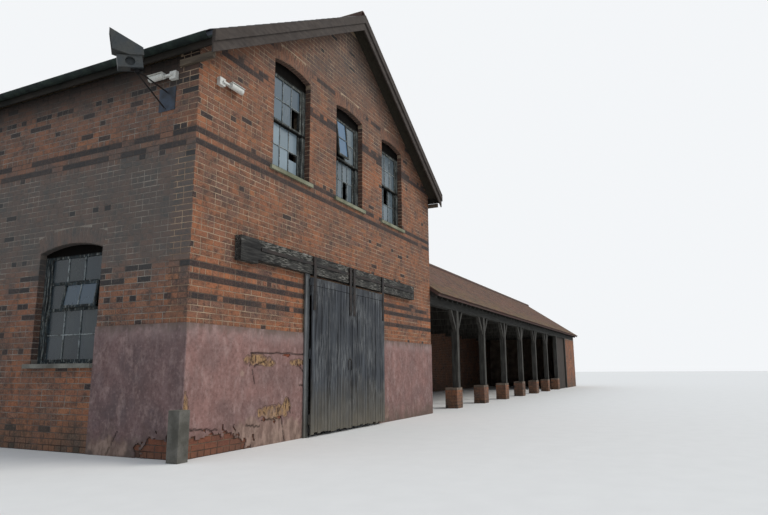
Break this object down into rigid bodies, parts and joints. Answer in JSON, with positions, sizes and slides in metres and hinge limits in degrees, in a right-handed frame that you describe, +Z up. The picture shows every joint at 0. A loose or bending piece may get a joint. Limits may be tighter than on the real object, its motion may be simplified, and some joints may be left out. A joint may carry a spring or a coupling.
{
  "type": "brick farm building with an open-fronted range",
  "caption": "Two-storey gabled brick farm building with sliding plank doors and a long open-fronted tiled range on posts beside it.",
  "frame": {"origin": "on the ground under the middle of the plan", "axes": "+X along the front from the gabled block towards the far end of the range, +Y from the yard front to the back, +Z up"},
  "size_m": [32.4809, 12.712, 8.1071],
  "materials": {
    "main_brick": "rough",
    "render": "rough",
    "inner_timber": "rough",
    "main_tile": "matt",
    "ridge_tile": "matt",
    "verge_board": "weathered",
    "gutter_iron": "mossy",
    "window_paint": "flaking",
    "glass": "dusty",
    "sill_stone": "rough",
    "black_timber": "weathered",
    "jamb_timber": "weathered",
    "plank_timber": "weathered",
    "black_iron": "rusted",
    "lamp_casing": "matt",
    "camera_casing": "satin",
    "post_stone": "rough",
    "range_brick": "rough",
    "range_timber": "weathered",
    "range_tile": "matt"
  },
  "bodies": {
    "building": {"front_wall_left": "main_brick", "front_wall_right": "main_brick", "front_wall_gable": "main_brick", "side_wall_left": "main_brick", "side_wall_right": "main_brick", "back_wall": "main_brick", "render_front_left": "render", "render_front_right": "render", "render_side": "render", "first_floor_boards": "inner_timber", "first_floor_joists": "inner_timber", "wall_plates": "inner_timber", "rafters": "inner_timber", "ridge_board": "inner_timber", "roof_left": "main_tile", "roof_right": "main_tile", "ridge_tiles": "ridge_tile", "bargeboards": "verge_board", "verge_soffits": "verge_board", "eaves_boards": "verge_board", "gutters": "gutter_iron", "gable_window_frames": "window_paint", "gable_window_glass": "glass", "gable_window_sills": "sill_stone", "side_window_frames": "window_paint", "side_window_glass": "glass", "side_window_sills": "sill_stone", "door_beam": "black_timber", "door_rail": "black_iron", "door_jamb_board": "jamb_timber", "floodlight": "lamp_casing", "floodlight_bracket": "black_iron", "cameras": "camera_casing", "corner_guard_post": "post_stone", "range_back_wall": "range_brick", "range_end_wall": "range_brick", "range_end_front_wall": "range_brick", "range_end_boarding": "black_timber", "range_post_bases": "range_brick", "range_posts": "range_timber", "range_braces": "range_timber", "range_front_plate": "range_timber", "range_trusses": "range_timber", "range_purlins": "range_timber", "range_roof_front": "range_tile", "range_roof_back": "range_tile", "range_ridge_tiles": "ridge_tile"},
    "left_door": {"door_leaf_left": "plank_timber", "door_hangers_left": "black_iron"},
    "right_door": {"door_leaf_right": "plank_timber", "door_hangers_right": "black_iron"}
  },
  "joints": [
    {"name": "left_door_slide", "type": "slide", "parent": "building", "child": "left_door", "axis": [-1, 0, 0], "range_m": [0, 1.33]},
    {"name": "right_door_slide", "type": "slide", "parent": "building", "child": "right_door", "axis": [1, 0, 0], "range_m": [0, 1.33]}
  ]
}
